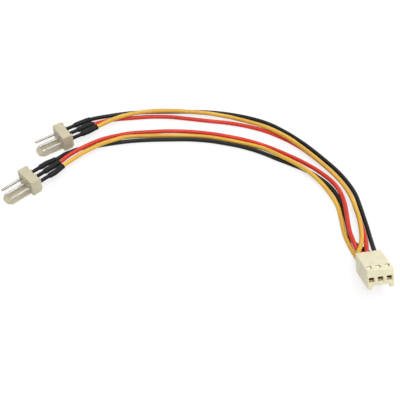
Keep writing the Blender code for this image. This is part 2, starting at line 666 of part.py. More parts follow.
def make_wire(name, path, start, end, material):
    curve = bpy.data.curves.new(name, "CURVE")
    curve.dimensions = "3D"
    curve.bevel_depth = WIRE_DIAMETER / 2
    curve.bevel_resolution = 2
    curve.use_fill_caps = True
    count = math.ceil((end - start) / WIRE_POINT_SPACING) + 1
    spline = curve.splines.new("POLY")
    spline.points.add(count - 1)
    spline.use_smooth = True
    for k, point in enumerate(spline.points):
        point.co = (*path.at(start + (end - start) * k / (count - 1)), 1.0)
    curve.materials.append(material)
    wire = bpy.data.objects.new(name, curve)
    bpy.context.scene.collection.objects.link(wire)


def make_housing(materials):
    frame = make_frame("housing_frame", housing_matrix())
    add_object("female_housing", housing_mesh(), materials["housing"], frame)
    mesh = terminal_mesh()
    for index, colour in enumerate(HOUSING_COLOURS):
        add_object("crimp_terminal_" + colour, mesh, materials["terminal"], frame,
                   circuit_offset(index))


def make_headers(materials):
    base, pin = header_base_mesh(), pin_mesh()
    for branch in HEADER_PLACES:
        frame = make_frame("header_%s_frame" % branch, header_matrix(branch))
        add_object("header_%s_base" % branch, base, materials["header"], frame)
        for index, colour in enumerate(HEADER_COLOURS):
            add_object("header_%s_pin_%s" % (branch, colour), pin, materials["pin"], frame,
                       circuit_offset(index))


def make_circuit(branch, colour, materials):
    """One wire with its soldered joint, its sleeve and the bare ends of its conductor."""
    tag = "%s_%s" % (branch, colour)
    path = wire_path(branch, colour)
    jacket_end = path.length - (CONDUCTOR_BARREL_FRONT - JACKET_END)
    make_wire("wire_" + tag, path, JACKET_START, jacket_end, materials[colour])
    bare = CONDUCTOR_DIAMETER / 2
    turned = [
        ("heat_shrink_", sleeve_profile(), SLEEVE_SIDES, "sleeve"),
        ("solder_joint_", solder_profile(), SOLDER_SIDES, "solder"),
        ("tinned_end_", rod_profile(CONDUCTOR_START, JACKET_START - JOINT_CLEARANCE, bare),
         SOLDER_SIDES, "copper"),
        ("crimped_end_", rod_profile(jacket_end + JOINT_CLEARANCE, path.length, bare),
         SOLDER_SIDES, "copper"),
    ]
    for prefix, profile, sides, material in turned:
        mesh = turned_mesh(prefix + tag, path, profile, sides)
        add_object(prefix + tag, mesh, materials[material], smooth=True)


def main():
    clear_scene()
    materials = make_materials()
    make_housing(materials)
    make_headers(materials)
    for branch in HEADER_PLACES:
        for colour in HEADER_COLOURS:
            make_circuit(branch, colour, materials)


main()
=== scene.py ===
"""Looks of a splitter cable for three-wire cooling fans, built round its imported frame.

Metres, +Z up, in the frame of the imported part. Each connector's pieces are modelled in the
connector's own frame, with +X the way it mates, +Y along its row of circuits and +Z up.
"""
import math

import bmesh
import bpy
from mathutils import Euler, Matrix, Vector, noise


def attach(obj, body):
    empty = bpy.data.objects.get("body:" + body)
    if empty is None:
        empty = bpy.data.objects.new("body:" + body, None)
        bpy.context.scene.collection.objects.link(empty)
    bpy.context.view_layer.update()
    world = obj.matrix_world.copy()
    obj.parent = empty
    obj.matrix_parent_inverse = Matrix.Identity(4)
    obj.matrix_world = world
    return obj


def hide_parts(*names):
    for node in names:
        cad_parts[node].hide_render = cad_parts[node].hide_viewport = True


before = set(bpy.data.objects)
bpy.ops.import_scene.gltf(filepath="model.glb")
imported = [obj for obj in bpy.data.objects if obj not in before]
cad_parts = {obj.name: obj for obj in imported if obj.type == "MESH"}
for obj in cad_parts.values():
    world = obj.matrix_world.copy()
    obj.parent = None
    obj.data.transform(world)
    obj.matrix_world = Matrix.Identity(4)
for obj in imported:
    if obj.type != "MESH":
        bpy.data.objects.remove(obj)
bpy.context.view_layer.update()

MM = 0.001
ROOT = "root"

# How far a cutting form runs past the face that it opens
CUT_PAST = 1.0 * MM

# Angles in degrees up to which edges look smooth: on most pieces, then on sleeves
SMOOTH_ANGLE = 35
SLEEVE_SMOOTH_ANGLE = 50

# Camera, with its elevation in degrees and its lens in millimetres
CAMERA_ELEVATION = 48.5
CAMERA_DISTANCE = 254 * MM
CAMERA_LENS = 72.0
CAMERA_NEAR = 10 * MM
CAMERA_FAR = 10.0

# Circuits
PITCH = 2.54 * MM
HEADER_COLOURS = ("black", "red", "yellow")
HOUSING_COLOURS = HEADER_COLOURS[::-1]
CIRCUITS = len(HEADER_COLOURS)
ROW_WIDTH = PITCH * CIRCUITS

# Wire
WIRE_DIAMETER = 1.4 * MM
WIRE_RISE = 0.725 * MM
WIRE_SIDES = 20
WIRE_STEP = 0.5 * MM
WIRE_SWELL = 0.012 * MM
JACKET_START = 6.8 * MM
JACKET_STOP = 2.0 * MM

# Socket housing
HOUSING_LENGTH = 12.6 * MM
HOUSING_THICKNESS = 4.97 * MM
ROOF = 0.8 * MM
CAVITY_WIDTH = 2.02 * MM
CAVITY_HEIGHT = 3.47 * MM
CAVITY_MIDDLE = -ROOF - CAVITY_HEIGHT / 2
CAVITY_FLARE = 0.24 * MM
FRONT_WALL = 0.9 * MM
CAVITY_FRONT = HOUSING_LENGTH - FRONT_WALL
GUIDE_RIB_WIDTH = 1.29 * MM
GUIDE_RIB_HEIGHT = 1.0 * MM
CONDUCTOR_FRONT = 5.8 * MM
SOCKET_MIDDLE = -3.16 * MM
SOCKET_SIZE = 1.45 * MM
SOCKET_MOUTH = 1.75 * MM
SOCKET_LEAD = 0.25 * MM
WINDOW_WIDTH = 1.15 * MM
WINDOW_LENGTH = 2.0 * MM
WINDOW_BEHIND_FRONT = 1.3 * MM
WINDOW_FRONT = HOUSING_LENGTH - WINDOW_BEHIND_FRONT
WINDOW_LEAD = 0.12 * MM
HOUSING_EDGE = 0.24 * MM

# Folded spring at the mouth of each contact box, with the turns of its fold in degrees
SPRING_WIDTH = 1.1 * MM
SPRING_THICKNESS = 0.12 * MM
SPRING_FRONT = 11.55 * MM
SPRING_FLOOR = -3.88 * MM
SPRING_FOLD = 0.14 * MM
SPRING_RISE = 0.34 * MM
SPRING_RUN = 0.9 * MM
SPRING_CREST = 0.45 * MM
SPRING_TURNS = range(-90, 76, 15)

# Pin header
BASE_DEPTH = 3.2 * MM
BASE_HEIGHT = 5.84 * MM
BASE_EDGE = 0.2 * MM
TAB_WIDTH = 4.8 * MM
TAB_THICKNESS = 0.9 * MM
TAB_RAISE = 0.1 * MM
TAB_REACH = 8.1 * MM
TAB_CHAMFER = 1.2 * MM
TAB_ROOT = 0.8 * MM
TAB_EDGE = 0.14 * MM
LATCH_WIDTH = 1.6 * MM
LATCH_LENGTH = 1.4 * MM
LATCH_HEIGHT = 0.4 * MM
LATCH_FROM_TIP = 1.3 * MM
STANDOFF_WIDTH = 0.6 * MM
STANDOFF_DEPTH = 0.5 * MM
STANDOFF_LIFT = 0.6 * MM
STANDOFF_DROP = 0.12 * MM
STANDOFF_EDGE = 0.1 * MM
PIN_SIZE = 0.64 * MM
PIN_REACH = 7.5 * MM
PIN_TAIL = 4.76 * MM
PIN_HEIGHT = 3.01 * MM
PIN_CLEARANCE = 0.03 * MM
PIN_TIP_LENGTH = 0.5 * MM
PIN_TIP_SIZE = 0.3 * MM
PIN_EDGE = 0.07 * MM

# Heat-shrink sleeve, measured along the wire from the header's back face
SLEEVE_START = 0.35 * MM
SLEEVE_LENGTH = 10.0 * MM
SLEEVE_NECK = 3.6 * MM
SLEEVE_FLARE = 1.0 * MM
SLEEVE_WALL = 0.14 * MM
SLEEVE_NECK_RADIUS = 0.62 * MM
SLEEVE_BODY_RADIUS = 0.9 * MM
SLEEVE_LIP_LENGTH = 0.8 * MM
SLEEVE_LIP_GROWTH = 0.05 * MM
SLEEVE_FOOT_LENGTH = 0.6 * MM
SLEEVE_FOOT_GROWTH = 0.04 * MM
SLEEVE_SIDES = 28
SLEEVE_STEP = 0.16 * MM
SLEEVE_LUMP = 0.045 * MM
SLEEVE_CREASE = 0.018 * MM
SLEEVE_FADE = 0.5 * MM

# Where the connectors lie from a datum in the part's frame, in millimetres and degrees
DATUM = Vector((4.24, 1.7, 0.0)) * MM
HEADER_PLACES = {
    "a": ((-54.4, 5.6), 223.0),
    "b": ((-46.1, 25.85), 213.8),
}
HOUSING_PLACE = (49.0, -24.8)
HOUSING_TURN = -85.0
HOUSING_NOSE_UP = 29.0
HOUSING_ROLL = 4.5

# Height of a wire's middle on the table, in millimetres
LOW = 0.74

# Straight run of each wire behind the housing, and the points of its straight run off a header
MOUTH_RUN = 1.0 * MM
CLEAR_OF_HEADER = (0.0, 5.12 * MM, JACKET_START)

# Each wire's route between its header and the housing: x, y and height in millimetres
ROUTES = {
    "a_black": [
        (-46.7, 16.5, 2.00), (-44.9, 19.3, 1.15), (-42.9, 20.9, 0.80), (-40.5, 22.2, LOW),
        (-33.7, 23.9, LOW), (-28.7, 25.0, LOW), (-23.7, 25.9, LOW), (-16.9, 26.5, LOW),
        (-10.2, 26.7, LOW), (-3.4, 26.7, LOW), (3.4, 26.0, LOW), (8.7, 24.8, LOW),
        (14.3, 23.2, LOW), (20.3, 20.6, LOW), (25.8, 17.4, LOW), (28.4, 16.0, LOW),
        (31.0, 14.5, LOW), (33.9, 12.8, LOW), (36.6, 10.7, LOW), (40.7, 6.5, LOW),
        (43.0, 2.6, LOW), (44.4, -1.8, LOW), (45.0, -6.0, LOW), (45.3, -9.7, LOW),
        (45.5, -13.6, LOW), (45.8, -16.2, LOW), (46.5, -18.0, LOW), (47.7, -19.4, LOW),
        (49.2, -20.6, LOW), (50.5, -21.8, 0.82),
    ],
    "a_red": [
        (-45.7, 14.3, 2.65), (-42.8, 17.7, 2.60), (-38.9, 21.3, 2.40), (-33.6, 24.9, 2.25),
        (-28.8, 27.7, 1.40), (-23.9, 29.6, 0.86), (-17.1, 30.4, LOW), (-10.3, 30.8, LOW),
        (-3.4, 30.5, LOW), (3.4, 29.6, LOW), (9.0, 28.3, LOW), (14.9, 26.6, LOW),
        (21.1, 24.0, LOW), (27.0, 20.7, LOW), (29.6, 19.0, LOW), (32.2, 17.3, LOW),
        (35.1, 15.1, LOW), (37.8, 12.8, LOW), (41.9, 8.1, 0.90), (44.1, 3.3, 1.55),
        (45.1, -2.3, 2.20), (45.3, -7.1, 2.28), (45.3, -10.8, 2.25), (45.4, -14.8, 2.25),
        (45.8, -17.4, 2.30), (46.2, -19.4, 2.20), (47.1, -21.1, 1.36), (48.3, -22.9, 1.24),
    ],
    "a_yellow": [
        (-44.5, 12.6, 2.65), (-41.9, 15.5, 2.50), (-38.6, 18.8, 2.40), (-33.4, 22.7, 2.35),
        (-31.3, 23.9, 2.30), (-27.9, 25.5, 2.18), (-26.0, 26.7, 1.76), (-23.8, 27.7, 1.15),
        (-17.0, 28.5, LOW), (-10.2, 28.6, LOW), (-3.4, 28.5, LOW), (3.4, 27.8, LOW),
        (8.9, 26.5, LOW), (14.6, 24.8, 0.80), (20.7, 22.1, 1.32), (23.5, 20.0, 1.82),
        (26.2, 17.8, 2.16), (28.7, 16.0, 2.20), (31.2, 14.1, 2.20), (33.8, 11.8, 2.15),
        (36.3, 9.3, 1.95), (39.8, 4.8, 1.25), (41.7, 1.1, 0.95), (43.1, -2.8, 0.84),
        (43.6, -6.7, 0.78), (43.8, -10.1, LOW), (44.0, -14.0, LOW), (44.4, -16.5, LOW),
        (44.9, -18.5, LOW), (45.7, -21.2, 0.80),
    ],
    "b_black": [
        (-37.6, 35.1, 2.20), (-34.7, 37.2, 1.20), (-31.5, 38.4, 0.80), (-29.7, 38.9, 0.76),
        (-24.5, 39.9, LOW), (-17.5, 40.5, LOW), (-10.5, 40.6, LOW), (-3.5, 40.6, LOW),
        (3.5, 40.3, LOW), (10.0, 39.3, LOW), (16.7, 37.5, LOW), (23.7, 34.4, LOW),
        (30.1, 29.5, LOW), (32.7, 27.0, LOW), (35.3, 24.3, LOW), (38.0, 21.1, LOW),
        (40.6, 17.8, LOW), (44.7, 12.1, LOW), (47.3, 7.4, LOW), (49.4, 1.9, LOW),
        (50.3, -3.7, LOW), (50.8, -7.9, LOW), (51.3, -12.2, LOW), (51.5, -15.2, 0.90),
        (51.6, -18.1, 1.50), (51.6, -20.9, 2.30),
    ],
    "b_red": [
        (-36.2, 33.2, 1.90), (-34.1, 34.8, 1.20), (-31.9, 36.0, 0.85), (-29.5, 36.7, LOW),
        (-24.3, 37.3, LOW), (-17.4, 38.0, LOW), (-10.4, 37.9, LOW), (-3.5, 36.9, LOW),
        (3.5, 35.8, LOW), (9.6, 34.9, LOW), (16.0, 33.3, LOW), (22.8, 30.6, LOW),
        (29.1, 26.7, LOW), (31.8, 24.6, LOW), (34.4, 22.2, LOW), (37.1, 19.2, LOW),
        (39.7, 16.0, LOW), (43.6, 10.6, LOW), (46.1, 6.1, LOW), (48.0, 0.8, LOW),
        (48.8, -4.4, LOW), (49.3, -8.4, LOW), (49.8, -12.5, LOW), (50.0, -15.6, 0.95),
        (49.9, -18.2, 1.70), (49.6, -20.4, 2.40),
    ],
    "b_yellow": [
        (-34.7, 31.2, 2.70), (-32.7, 32.8, 2.60), (-29.3, 35.3, 2.45), (-24.3, 37.6, 2.35),
        (-17.4, 39.2, 2.30), (-10.4, 39.5, 2.25), (-3.5, 39.2, 2.05), (3.5, 38.7, 1.62),
        (7.3, 38.1, 1.30), (9.9, 37.5, 1.22), (12.7, 36.5, 1.22), (16.3, 34.8, 1.55),
        (23.1, 31.1, 2.10), (29.3, 26.4, 2.22), (31.9, 23.9, 2.15), (34.3, 21.2, 2.10),
        (36.9, 18.1, 2.10), (39.4, 14.9, 2.05), (43.3, 9.4, 2.00), (45.8, 4.9, 2.00),
        (47.6, -0.4, 2.10), (48.5, -5.6, 2.22), (48.9, -9.7, 2.26), (48.9, -14.0, 2.30),
        (48.7, -16.9, 2.40), (48.1, -19.6, 2.75), (47.4, -21.8, 2.93), (46.9, -22.8, 2.92),
    ],
}


def place_matrix(location, rotation):
    return Matrix.Translation(location) @ Euler(rotation, "XYZ").to_matrix().to_4x4()


def header_matrix(branch):
    (x, y), turn = HEADER_PLACES[branch]
    return place_matrix(Vector((x * MM, y * MM, 0.0)) + DATUM, (0.0, 0.0, math.radians(turn)))


def housing_matrix():
    """The origin is at the middle of the rear face's top edge; the lowest corner is on the table."""
    rotation = [math.radians(a) for a in (HOUSING_ROLL, -HOUSING_NOSE_UP, HOUSING_TURN)]
    turned = place_matrix((0.0, 0.0, 0.0), rotation)
    bottom = -HOUSING_THICKNESS - GUIDE_RIB_HEIGHT
    corners = [Vector((0.0, side * ROW_WIDTH / 2, bottom)) for side in (-1, 1)]
    height = -min((turned @ corner).z for corner in corners)
    x, y = HOUSING_PLACE
    return place_matrix(Vector((x * MM, y * MM, height)) + DATUM, rotation)


def circuit_offset(index):
    return (index - (CIRCUITS - 1) / 2) * PITCH


class Path:
    """A smooth curve through given points, read by the distance along it."""

    SAMPLES = 14
    REACH = 0.3 * MM

    def __init__(self, points):
        first = points[0] * 2 - points[1]
        last = points[-1] * 2 - points[-2]
        chain = [first, *points, last]
        self.points = [points[0]]
        for k in range(len(points) - 1):
            self.points += self.span(chain[k:k + 4])
        self.lengths = [0.0]
        for a, b in zip(self.points, self.points[1:]):
            self.lengths.append(self.lengths[-1] + (b - a).length)
        self.length = self.lengths[-1]

    def span(self, corners):
        """Centripetal spline between the middle two of four points."""
        knots = [0.0]
        for a, b in zip(corners, corners[1:]):
            knots.append(knots[-1] + math.sqrt((b - a).length))
        found = []
        for k in range(1, self.SAMPLES + 1):
            t = knots[1] + (knots[2] - knots[1]) * k / self.SAMPLES
            level = list(corners)
            for depth in (1, 2, 3):
                level = [self.mix(level, knots, j, depth, t) for j in range(4 - depth)]
            found.append(level[0])
        return found

    @staticmethod
    def mix(level, knots, j, depth, t):
        low, high = (j, j + depth) if depth < 3 else (1, 2)
        share = (t - knots[low]) / (knots[high] - knots[low])
        return level[j].lerp(level[j + 1], share)

    def at(self, distance):
        distance = min(max(distance, 0.0), self.length)
        k = 1
        while k < len(self.lengths) - 1 and self.lengths[k] < distance:
            k += 1
        share = (distance - self.lengths[k - 1]) / (self.lengths[k] - self.lengths[k - 1])
        return self.points[k - 1].lerp(self.points[k], share)

    def frame(self, distance):
        """Centre, sideways and upward directions of the section at a distance."""
        forward = (self.at(distance + self.REACH) - self.at(distance - self.REACH)).normalized()
        side = forward.cross(Vector((0.0, 0.0, 1.0))).normalized()
        return self.at(distance), side, side.cross(forward)


def wire_path(branch, colour):
    """Straight off the header's pin, along the route, and straight into the terminal."""
    header = header_matrix(branch)
    y = circuit_offset(HEADER_COLOURS.index(colour))
    back = -BASE_DEPTH / 2
    leave = [header @ Vector((back - away, y, PIN_HEIGHT)) for away in CLEAR_OF_HEADER]
    housing = housing_matrix()
    y = circuit_offset(HOUSING_COLOURS.index(colour))
    rise = WIRE_RISE if branch == "b" else -WIRE_RISE
    entry = (-MOUTH_RUN, 0.0, CONDUCTOR_FRONT)
    enter = [housing @ Vector((x, y, CAVITY_MIDDLE + rise)) for x in entry]
    route = [Vector(point) * MM + DATUM for point in ROUTES[branch + "_" + colour]]
    return Path(leave + route + enter)


def make_camera():
    """The photograph's view, aimed at the datum."""
    data = bpy.data.cameras.new("camera")
    data.lens = CAMERA_LENS
    camera = bpy.data.objects.new("camera", data)
    bpy.context.scene.collection.objects.link(camera)
    tilt = math.radians(CAMERA_ELEVATION)
    camera.location = DATUM + Vector((0.0, -math.cos(tilt), math.sin(tilt))) * CAMERA_DISTANCE
    camera.rotation_euler = (math.pi / 2 - tilt, 0.0, 0.0)
    data.clip_start = CAMERA_NEAR
    data.clip_end = CAMERA_FAR
    bpy.context.scene.camera = camera


def to_mesh(name, bm):
    bmesh.ops.recalc_face_normals(bm, faces=bm.faces[:])
    mesh = bpy.data.meshes.new(name)
    bm.to_mesh(mesh)
    bm.free()
    return mesh


def add_mesh(name, mesh, material, nodes, smooth_angle=SMOOTH_ANGLE):
    """Show a mesh as a piece that rides on the part and stands for its CAD nodes, if it has any."""
    mesh.materials.clear()
    mesh.materials.append(material)
    mesh.shade_smooth()
    mesh.set_sharp_from_angle(angle=math.radians(smooth_angle))
    piece = bpy.data.objects.new(name, mesh)
    bpy.context.scene.collection.objects.link(piece)
    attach(piece, ROOT)
    if nodes:
        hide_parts(*nodes)
    return piece


def add_tube(bm, path, stations, sides, wobble, closed=False):
    """Sweep rings (distance, radius) along the path, with the length and turn kept in a layer."""
    layer = bm.verts.layers.float_vector.new("along")
    rings = []
    for distance, radius in stations:
        centre, side, up = path.frame(distance)
        ring = []
        for k in range(sides):
            angle = 2 * math.pi * k / sides
            across = side * math.cos(angle) + up * math.sin(angle)
            vert = bm.verts.new(centre + across * (radius + wobble(distance, angle)))
            vert[layer] = (distance / MM, math.cos(angle), math.sin(angle))
            ring.append(vert)
        rings.append(ring)
    pairs = list(zip(rings, rings[1:]))
    if closed:
        pairs.append((rings[-1], rings[0]))
    else:
        bm.faces.new(rings[0])
        bm.faces.new(rings[-1])
    for ring, following in pairs:
        join_rings(bm, ring, following)


def join_rings(bm, ring, following):
    """Faces between two rings of as many vertices."""
    for k in range(len(ring)):
        m = (k + 1) % len(ring)
        bm.faces.new((ring[k], ring[m], following[m], following[k]))


def steps_between(start, end, step):
    """Even distances from start to end, about a step apart."""
    count = max(1, round((end - start) / step))
    return [start + (end - start) * k / count for k in range(count + 1)]


# Materials


class Look:
    """A Principled material built from procedural textures in millimetres."""

    # The part of a noise texture's range that carries most of its values
    NOISE_LOW = 0.3
    NOISE_HIGH = 0.7

    def __init__(self, name, metallic=0.0):
        self.material = bpy.data.materials.new(name)
        self.material.use_nodes = True
        self.tree = self.material.node_tree
        self.shader = self.tree.nodes["Principled BSDF"]
        self.set("Metallic", metallic)
        place = self.node("ShaderNodeTexCoord").outputs["Object"]
        self.millimetres = self.mapping(place, (1 / MM,) * 3)

    def node(self, kind, **settings):
        node = self.tree.nodes.new(kind)
        for key, value in settings.items():
            setattr(node, key, value)
        return node

    def link(self, source, target):
        self.tree.links.new(source, target)

    def set(self, socket, value):
        self.shader.inputs[socket].default_value = value

    def mapping(self, source, scale):
        node = self.node("ShaderNodeMapping")
        node.inputs["Scale"].default_value = scale
        self.link(source, node.inputs["Vector"])
        return node.outputs["Vector"]

    def along(self, scale):
        """Coordinates that run along a swept tube, stretched by scale."""
        attribute = self.node("ShaderNodeAttribute", attribute_name="along")
        return self.mapping(attribute.outputs["Vector"], scale)

    def noise(self, scale, detail=2.0, place=None):
        node = self.node("ShaderNodeTexNoise")
        node.inputs["Scale"].default_value = scale
        node.inputs["Detail"].default_value = detail
        self.link(place or self.millimetres, node.inputs["Vector"])
        return node.outputs["Fac"]

    def spread(self, value, low, high):
        """Map a noise texture's middle range onto low to high."""
        node = self.node("ShaderNodeMapRange")
        node.inputs["From Min"].default_value = self.NOISE_LOW
        node.inputs["From Max"].default_value = self.NOISE_HIGH
        node.inputs["To Min"].default_value = low
        node.inputs["To Max"].default_value = high
        self.link(value, node.inputs["Value"])
        return node.outputs["Result"]

    def ramp(self, value, stops):
        node = self.node("ShaderNodeValToRGB")
        elements = node.color_ramp.elements
        while len(elements) < len(stops):
            elements.new(0.5)
        for element, (position, colour) in zip(elements, stops):
            element.position = position
            element.color = (*colour, 1.0)
        self.link(value, node.inputs["Fac"])
        return node.outputs["Color"]

    def colour(self, value, stops):
        self.link(self.ramp(value, stops), self.shader.inputs["Base Color"])

    def roughness(self, value, low, high):
        self.link(self.spread(value, low, high), self.shader.inputs["Roughness"])

    def bumps(self, *layers):
        """Stack bumps of (value, height) in metres on the surface."""
        normal = None
        for value, height in layers:
            node = self.node("ShaderNodeBump")
            node.inputs["Strength"].default_value = 1.0
            node.inputs["Distance"].default_value = height
            self.link(value, node.inputs["Height"])
            if normal:
                self.link(normal, node.inputs["Normal"])
            normal = node.outputs["Normal"]
        self.link(normal, self.shader.inputs["Normal"])


def shade(colour, factor):
    return tuple(min(1.0, part * factor) for part in colour)


def nylon(name, colour):
    """Moulded nylon: faint flow mottling, a satin skin and a fine sparked grain."""
    look = Look(name)
    look.set("IOR", 1.52)
    look.set("Subsurface Weight", 0.12)
    look.set("Subsurface Radius", (1.0, 0.8, 0.5))
    look.set("Subsurface Scale", 0.6 * MM)
    cloud = look.noise(0.45, 4.0)
    look.colour(cloud, [(0.3, shade(colour, 0.95)), (0.5, colour), (0.72, shade(colour, 1.05))])
    grain = look.noise(9.0, 3.0)
    look.roughness(look.noise(1.6, 3.0), 0.42, 0.58)
    look.bumps((cloud, 0.03 * MM), (grain, 0.006 * MM))
    return look.material


def jacket(name, tones, specular):
    """Extruded PVC: smooth gloss, faint die lines along its length and slow colour drift."""
    look = Look(name)
    look.set("IOR", 1.53)
    look.set("Specular IOR Level", specular)
    drift = look.noise(1.0, 3.0, look.along((0.16, 0.5, 0.5)))
    look.colour(drift, list(zip((0.3, 0.52, 0.75), tones)))
    lines = look.noise(1.0, 2.0, look.along((0.35, 7.0, 7.0)))
    skin = look.noise(5.0, 3.0)
    look.roughness(look.noise(1.3, 3.0), 0.30, 0.44)
    look.bumps((lines, 0.012 * MM), (skin, 0.004 * MM))
    return look.material


def shrink_sleeve():
    """Shrunk tubing: near black, satin, with lengthwise creases left by the heat."""
    look = Look("shrunk_tubing")
    look.set("IOR", 1.5)
    look.set("Specular IOR Level", 0.2)
    deep, middle, pale = (0.003, 0.004, 0.004), (0.006, 0.007, 0.007), (0.011, 0.013, 0.012)
    look.colour(look.noise(0.9, 3.0), [(0.3, deep), (0.6, middle), (0.8, pale)])
    creases = look.noise(1.0, 3.0, look.along((0.8, 3.2, 3.2)))
    look.roughness(look.noise(2.5, 3.0), 0.36, 0.56)
    look.bumps((creases, 0.05 * MM), (look.noise(11.0, 2.0), 0.006 * MM))
    return look.material


def metal(name, tones, smoothest, roughest):
    """Plated metal with cloudy plating and a slightly uneven skin."""
    look = Look(name, metallic=1.0)
    look.colour(look.noise(1.1, 4.0), list(zip((0.3, 0.5, 0.7), tones)))
    look.roughness(look.noise(5.0, 3.0), smoothest, roughest)
    look.bumps((look.noise(7.0, 2.0), 0.002 * MM))
    return look.material


def stranded_copper():
    """Bare strands twisted round each other, as a lengthwise wave in the bump."""
    look = Look("bare_strands", metallic=1.0)
    wave = look.node("ShaderNodeTexWave", bands_direction="DIAGONAL")
    wave.inputs["Scale"].default_value = 3.0
    wave.inputs["Distortion"].default_value = 0.6
    look.link(look.millimetres, wave.inputs["Vector"])
    look.colour(look.noise(2.0, 3.0), [(0.3, (0.62, 0.30, 0.18)), (0.7, (0.85, 0.50, 0.34))])
    look.roughness(look.noise(4.0), 0.25, 0.45)
    look.bumps((wave.outputs["Fac"], 0.05 * MM))
    return look.material


# Colours of the two nylons
IVORY = (0.84, 0.78, 0.55)
CREAM = (0.60, 0.54, 0.385)

# Dark, middle and light tone of each metal and jacket
PIN_TONES = (0.42, 0.40, 0.355), (0.52, 0.50, 0.45), (0.62, 0.60, 0.545)
TERMINAL_TONES = (0.40, 0.36, 0.27), (0.50, 0.46, 0.35), (0.58, 0.54, 0.42)
SPRING_TONES = (0.46, 0.34, 0.15), (0.56, 0.43, 0.21), (0.64, 0.51, 0.28)
SOLDER_TONES = (0.55, 0.56, 0.58), (0.68, 0.69, 0.70), (0.80, 0.81, 0.82)
YELLOW_TONES = (0.68, 0.37, 0.035), (0.75, 0.43, 0.045), (0.82, 0.50, 0.06)
RED_TONES = (0.58, 0.020, 0.006), (0.66, 0.028, 0.008), (0.74, 0.045, 0.014)
BLACK_TONES = (0.003, 0.0035, 0.003), (0.005, 0.0055, 0.005), (0.008, 0.009, 0.008)


def make_materials():
    return {
        "housing": nylon("ivory_nylon", IVORY),
        "header": nylon("cream_nylon", CREAM),
        "pin": metal("tinned_pin", PIN_TONES, smoothest=0.30, roughest=0.42),
        "terminal": metal("plated_terminal", TERMINAL_TONES, smoothest=0.42, roughest=0.56),
        "spring": metal("plated_spring", SPRING_TONES, smoothest=0.40, roughest=0.55),
        "solder": metal("solder", SOLDER_TONES, smoothest=0.20, roughest=0.38),
        "copper": stranded_copper(),
        "sleeve": shrink_sleeve(),
        "wire_yellow": jacket("yellow_jacket", YELLOW_TONES, specular=0.4),
        "wire_red": jacket("red_jacket", RED_TONES, specular=0.4),
        "wire_black": jacket("black_jacket", BLACK_TONES, specular=0.22),
    }


# Wires


def tube_spot(distance, angle, seed, along, around):
    """Where to read noise for a place on a tube: along is its pace per millimetre of length."""
    return Vector((distance / MM * along + seed, math.cos(angle) * around, math.sin(angle) * around))


def make_wire(branch, colour, path, material):
    """The jacket of one wire from its sleeve to the terminal, slightly uneven along its length."""
    tag = branch + "_" + colour
    end = path.length - JACKET_STOP
    seed = 7.0 * len(ROUTES[tag]) + HEADER_COLOURS.index(colour)

    def swell(distance, angle):
        return noise.noise(tube_spot(distance, angle, seed, along=0.11, around=0.5)) * WIRE_SWELL

    bm = bmesh.new()
    distances = steps_between(JACKET_START, end, WIRE_STEP)
    add_tube(bm, path, [(d, WIRE_DIAMETER / 2) for d in distances], WIRE_SIDES, swell)
    name = "jacket_" + tag
    wire = add_mesh(name, to_mesh(name, bm), material, ["wire_" + tag])
    line = [path.at(d) for d in distances]
    tuple(path.at(SLEEVE_START + SLEEVE_LENGTH))


def smooth_step(value, low, high):
    share = min(1.0, max(0.0, (value - low) / (high - low)))
    return share * share * (3 - 2 * share)


def make_sleeve(branch, colour, path, material):
    """Shrunk tight round the pin's tail and flared over the soldered joint and the jacket."""
    tag = branch + "_" + colour
    end = SLEEVE_START + SLEEVE_LENGTH
    seed = 31.0 * (branch == "b") + 5.0 * HEADER_COLOURS.index(colour)

    def outer_radius(distance):
        flare = smooth_step(distance, SLEEVE_NECK, SLEEVE_NECK + SLEEVE_FLARE)
        lip = smooth_step(distance, end - SLEEVE_LIP_LENGTH, end) * SLEEVE_LIP_GROWTH
        past_foot = smooth_step(distance, SLEEVE_START, SLEEVE_START + SLEEVE_FOOT_LENGTH)
        foot = (1 - past_foot) * SLEEVE_FOOT_GROWTH
        return SLEEVE_NECK_RADIUS + (SLEEVE_BODY_RADIUS - SLEEVE_NECK_RADIUS) * flare + lip + foot

    def lumps(distance, angle):
        lump = noise.noise(tube_spot(distance, angle, seed, along=0.75, around=0.55)) * SLEEVE_LUMP
        crease = noise.noise(tube_spot(distance, angle, seed, along=0.3, around=2.2)) * SLEEVE_CREASE
        return (lump + crease) * smooth_step(distance, SLEEVE_START, SLEEVE_START + SLEEVE_FADE)

    distances = steps_between(SLEEVE_START, end, SLEEVE_STEP)
    outer = [(d, outer_radius(d)) for d in distances]
    inner = [(d, r - SLEEVE_WALL) for d, r in reversed(outer)]
    bm = bmesh.new()
    add_tube(bm, path, outer + inner, SLEEVE_SIDES, lumps, closed=True)
    name = "sleeve_" + tag
    add_mesh(name, to_mesh(name, bm), material, ["heat_shrink_" + tag], SLEEVE_SMOOTH_ANGLE)


# Moulded pieces

# The corners of a square, in order round it
CORNERS = ((-1, -1), (1, -1), (1, 1), (-1, 1))


def add_box(bm, low, high):
    size = [b - a for a, b in zip(low, high)]
    middle = [(a + b) / 2 for a, b in zip(low, high)]
    matrix = Matrix.Translation(middle) @ Matrix.Diagonal((*size, 1.0))
    bmesh.ops.create_cube(bm, size=1.0, matrix=matrix)


def add_extrusion(bm, outline, along):
    face = bm.faces.new([bm.verts.new(point) for point in outline])
    moved = bmesh.ops.extrude_face_region(bm, geom=[face])
    verts = [part for part in moved["geom"] if isinstance(part, bmesh.types.BMVert)]
    bmesh.ops.translate(bm, verts=verts, vec=along)


def add_square_loft(bm, stations, y, z):
    """Closed solid through rectangles (x, width, height) centred on (y, z)."""
    rings = [[bm.verts.new((x, y + a * width / 2, z + b * height / 2)) for a, b in CORNERS]
             for x, width, height in stations]
    close_loft(bm, rings)


